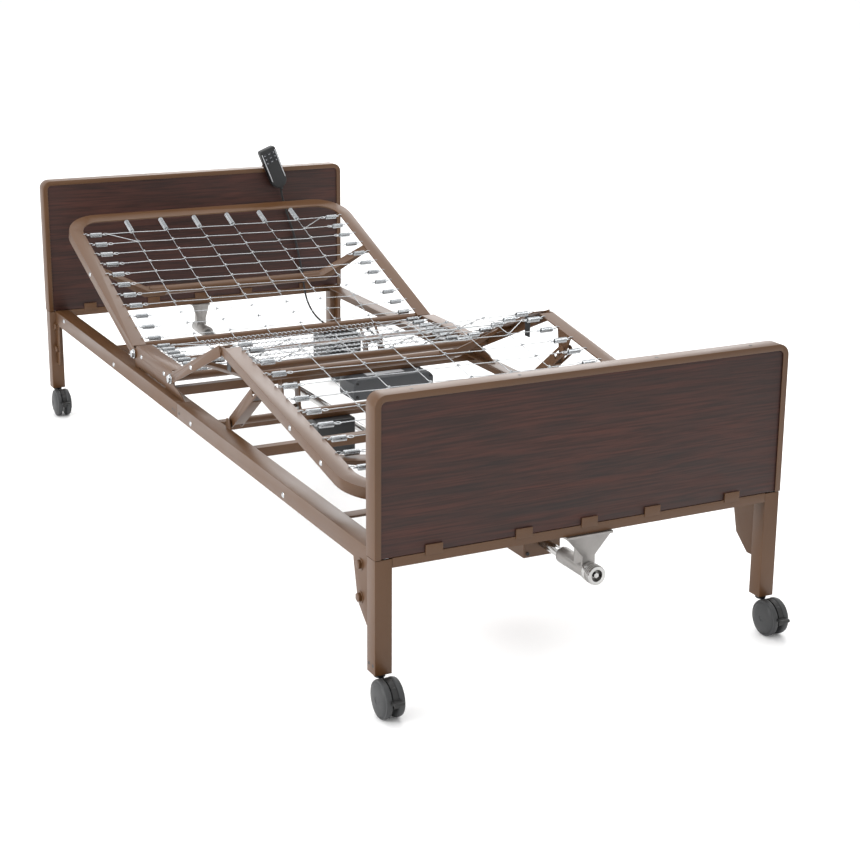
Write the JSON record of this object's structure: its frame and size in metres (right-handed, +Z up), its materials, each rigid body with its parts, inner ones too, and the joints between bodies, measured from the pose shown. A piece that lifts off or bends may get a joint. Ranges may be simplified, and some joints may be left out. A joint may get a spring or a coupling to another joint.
{
  "type": "adjustable hospital bed",
  "caption": "Full-electric home-care hospital bed with split frame, spring deck raised at back and knees, walnut-grain ends, telescoping legs on casters and a pendant handset.",
  "frame": {"origin": "on the floor, under the centre of the footprint", "axes": "+Y to the head end, +Z up, +X to the right seen from the foot"},
  "size_m": [0.925, 2.293, 0.7492],
  "materials": {
    "enamel": "satin",
    "walnut": "satin",
    "zinc": "satin",
    "casting": "matte",
    "chrome": "polished",
    "black_plastic": "matte",
    "dark_housing": "matte",
    "caster_grey": "matte",
    "stem_black": "satin",
    "button_grey": "matte"
  },
  "bodies": {
    "standing_leg": {"inner_leg_foot_left": "zinc"},
    "frame": {"foot_end_trim": "enamel", "foot_end_panel": "walnut", "foot_end_bottom_rail": "enamel", "foot_end_leg_left": "enamel", "foot_end_leg_right": "enamel", "side_rail_foot_left": "enamel", "side_rail_foot_right": "enamel", "foot_gear_box": "casting", "head_end_trim": "enamel", "head_end_panel": "walnut", "head_end_bottom_rail": "enamel", "head_end_leg_left": "enamel", "head_end_leg_right": "enamel", "side_rail_head_left": "enamel", "side_rail_head_right": "enamel", "head_gear_box": "casting", "cross_bar_head": "enamel", "cross_bar_seat": "enamel", "cross_bar_knee": "enamel", "cross_bar_calf": "enamel", "seat_frame": "enamel", "seat_springs": "zinc", "back_motor": "black_plastic", "knee_motor": "black_plastic", "high_low_motor": "enamel", "control_box": "dark_housing", "handset_shell": "black_plastic", "handset_cord": "black_plastic"},
    "leg_foot_right": {"inner_leg_foot_right": "zinc"},
    "leg_head_left": {"inner_leg_head_left": "zinc"},
    "leg_head_right": {"inner_leg_head_right": "zinc"},
    "caster_foot_left": {"caster_housing_foot_left": "stem_black"},
    "wheels_foot_left": {"caster_wheels_foot_left": "caster_grey"},
    "caster_foot_right": {"caster_housing_foot_right": "stem_black"},
    "wheels_foot_right": {"caster_wheels_foot_right": "caster_grey"},
    "caster_head_left": {"caster_housing_head_left": "stem_black"},
    "wheels_head_left": {"caster_wheels_head_left": "caster_grey"},
    "caster_head_right": {"caster_housing_head_right": "stem_black"},
    "wheels_head_right": {"caster_wheels_head_right": "caster_grey"},
    "back": {"back_frame": "enamel", "back_springs": "zinc"},
    "thigh": {"thigh_frame": "enamel", "thigh_springs": "zinc"},
    "calf": {"calf_frame": "enamel", "calf_springs": "zinc"},
    "link": {"knee_link": "enamel"},
    "back_pull": {"back_rod": "chrome"},
    "knee_pull": {"knee_rod": "chrome"},
    "foot_shaft": {"foot_drive_shaft": "chrome"},
    "head_shaft": {"head_drive_shaft": "chrome"},
    "key_top_left": {"button_top_left": "button_grey"},
    "key_top_middle": {"button_top_middle": "button_grey"},
    "key_top_right": {"button_top_right": "button_grey"},
    "key_centre_left": {"button_centre_left": "button_grey"},
    "key_centre_middle": {"button_centre_middle": "button_grey"},
    "key_centre_right": {"button_centre_right": "button_grey"},
    "key_bottom_left": {"button_bottom_left": "button_grey"},
    "key_bottom_middle": {"button_bottom_middle": "button_grey"},
    "key_bottom_right": {"button_bottom_right": "button_grey"}
  },
  "joints": [
    {"name": "bed_lift", "type": "slide", "parent": "standing_leg", "child": "frame", "axis": [0, 0, 1], "range_m": [0, 0.2]},
    {"name": "leg_slide_foot_right", "type": "slide", "parent": "frame", "child": "leg_foot_right", "axis": [0, 0, -1], "range_m": [0, 0.2]},
    {"name": "leg_slide_head_left", "type": "slide", "parent": "frame", "child": "leg_head_left", "axis": [0, 0, -1], "range_m": [0, 0.2]},
    {"name": "leg_slide_head_right", "type": "slide", "parent": "frame", "child": "leg_head_right", "axis": [0, 0, -1], "range_m": [0, 0.2]},
    {"name": "swivel_foot_left", "type": "hinge", "parent": "standing_leg", "child": "caster_foot_left", "pos_m": [-0.4385, -1.0725, 0.076], "axis": [0, 0, 1], "continuous": true},
    {"name": "roll_foot_left", "type": "hinge", "parent": "caster_foot_left", "child": "wheels_foot_left", "pos_m": [-0.4385, -1.1085, 0.038], "axis": [1, 0, 0], "continuous": true},
    {"name": "swivel_foot_right", "type": "hinge", "parent": "leg_foot_right", "child": "caster_foot_right", "pos_m": [0.4385, -1.0725, 0.076], "axis": [0, 0, 1], "continuous": true},
    {"name": "roll_foot_right", "type": "hinge", "parent": "caster_foot_right", "child": "wheels_foot_right", "pos_m": [0.4385, -1.1085, 0.038], "axis": [1, 0, 0], "continuous": true},
    {"name": "swivel_head_left", "type": "hinge", "parent": "leg_head_left", "child": "caster_head_left", "pos_m": [-0.4385, 1.1235, 0.076], "axis": [0, 0, 1], "continuous": true},
    {"name": "roll_head_left", "type": "hinge", "parent": "caster_head_left", "child": "wheels_head_left", "pos_m": [-0.4385, 1.0875, 0.038], "axis": [1, 0, 0], "continuous": true},
    {"name": "swivel_head_right", "type": "hinge", "parent": "leg_head_right", "child": "caster_head_right", "pos_m": [0.4385, 1.1235, 0.076], "axis": [0, 0, 1], "continuous": true},
    {"name": "roll_head_right", "type": "hinge", "parent": "caster_head_right", "child": "wheels_head_right", "pos_m": [0.4385, 1.0875, 0.038], "axis": [1, 0, 0], "continuous": true},
    {"name": "back_raise", "type": "hinge", "parent": "frame", "child": "back", "pos_m": [0, 0.4185, 0.337], "axis": [1, 0, 0], "range_deg": [-20.5, 45.5]},
    {"name": "thigh_raise", "type": "hinge", "parent": "frame", "child": "thigh", "pos_m": [0, 0.1335, 0.341], "axis": [-1, 0, 0], "range_deg": [-23.3, 12.7]},
    {"name": "knee_bend", "type": "hinge", "parent": "thigh", "child": "calf", "pos_m": [0, -0.21505, 0.49111], "axis": [1, 0, 0], "range_deg": [-33.6, 18.3]},
    {"name": "link_swing", "type": "hinge", "parent": "frame", "child": "link", "pos_m": [0, -0.1965, 0.318], "axis": [-1, 0, 0], "range_deg": [-44.1, 24.1]},
    {"name": "back_pull", "type": "slide", "parent": "frame", "child": "back_pull", "axis": [0, 1, 0], "range_m": [-0.0427, 0.0946]},
    {"name": "knee_pull", "type": "slide", "parent": "frame", "child": "knee_pull", "axis": [0, -1, 0], "range_m": [-0.0475, 0.026]},
    {"name": "foot_shaft_spin", "type": "hinge", "parent": "frame", "child": "foot_shaft", "pos_m": [0, -0.9745, 0.209], "axis": [0, 1, 0], "continuous": true},
    {"name": "head_shaft_spin", "type": "hinge", "parent": "frame", "child": "head_shaft", "pos_m": [0, 0.6255, 0.209], "axis": [0, 1, 0], "continuous": true},
    {"name": "press_top_left", "type": "slide", "parent": "frame", "child": "key_top_left", "axis": [0, 1, 0], "range_m": [0, 0.0012], "stiffness_N_per_m": 400},
    {"name": "press_top_middle", "type": "slide", "parent": "frame", "child": "key_top_middle", "axis": [0, 1, 0], "range_m": [0, 0.0012], "stiffness_N_per_m": 400},
    {"name": "press_top_right", "type": "slide", "parent": "frame", "child": "key_top_right", "axis": [0, 1, 0], "range_m": [0, 0.0012], "stiffness_N_per_m": 400},
    {"name": "press_centre_left", "type": "slide", "parent": "frame", "child": "key_centre_left", "axis": [0, 1, 0], "range_m": [0, 0.0012], "stiffness_N_per_m": 400},
    {"name": "press_centre_middle", "type": "slide", "parent": "frame", "child": "key_centre_middle", "axis": [0, 1, 0], "range_m": [0, 0.0012], "stiffness_N_per_m": 400},
    {"name": "press_centre_right", "type": "slide", "parent": "frame", "child": "key_centre_right", "axis": [0, 1, 0], "range_m": [0, 0.0012], "stiffness_N_per_m": 400},
    {"name": "press_bottom_left", "type": "slide", "parent": "frame", "child": "key_bottom_left", "axis": [0, 1, 0], "range_m": [0, 0.0012], "stiffness_N_per_m": 400},
    {"name": "press_bottom_middle", "type": "slide", "parent": "frame", "child": "key_bottom_middle", "axis": [0, 1, 0], "range_m": [0, 0.0012], "stiffness_N_per_m": 400},
    {"name": "press_bottom_right", "type": "slide", "parent": "frame", "child": "key_bottom_right", "axis": [0, 1, 0], "range_m": [0, 0.0012], "stiffness_N_per_m": 400}
  ],
  "couplings": [
    {"joint": "leg_slide_foot_right", "follows": "bed_lift", "ratio": 1},
    {"joint": "leg_slide_head_left", "follows": "bed_lift", "ratio": 1},
    {"joint": "leg_slide_head_right", "follows": "bed_lift", "ratio": 1},
    {"joint": "knee_bend", "follows": "thigh_raise", "ratio": 1.44},
    {"joint": "link_swing", "follows": "thigh_raise", "ratio": 1.89},
    {"joint": "knee_pull", "follows": "thigh_raise", "m_per_rad": 0.1165},
    {"joint": "back_pull", "follows": "back_raise", "m_per_rad": 0.119},
    {"joint": "foot_shaft_spin", "follows": "head_shaft_spin", "ratio": 1}
  ]
}
